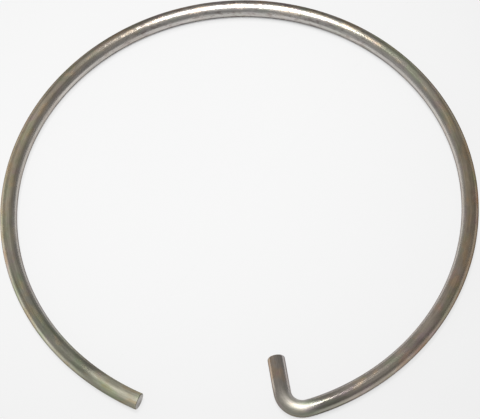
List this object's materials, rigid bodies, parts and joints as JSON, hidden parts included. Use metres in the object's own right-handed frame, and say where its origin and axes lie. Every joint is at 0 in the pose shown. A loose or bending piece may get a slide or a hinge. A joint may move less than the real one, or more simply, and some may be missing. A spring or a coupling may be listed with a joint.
{
  "type": "kick starter spring",
  "caption": "Spring of round wire in one flat, open ring, with a short straight leg bent inwards at one end of the ring and a plain cut at the other.",
  "frame": {"origin": "centre of the ring, on the mid-plane of the wire", "axes": "+Z square to the ring's plane, +Y along the leg, from its root to its tip and on towards the ring's far side, +X from the mouth towards the side of the ring that the bend starts from"},
  "size_m": [0.042, 0.0418, 0.0014],
  "materials": {
    "spring_steel": "satin drawn wire, with fine draw lines and faint brown mottling"
  },
  "bodies": {
    "root": {"spring_wire": "spring_steel"}
  },
  "joints": []
}
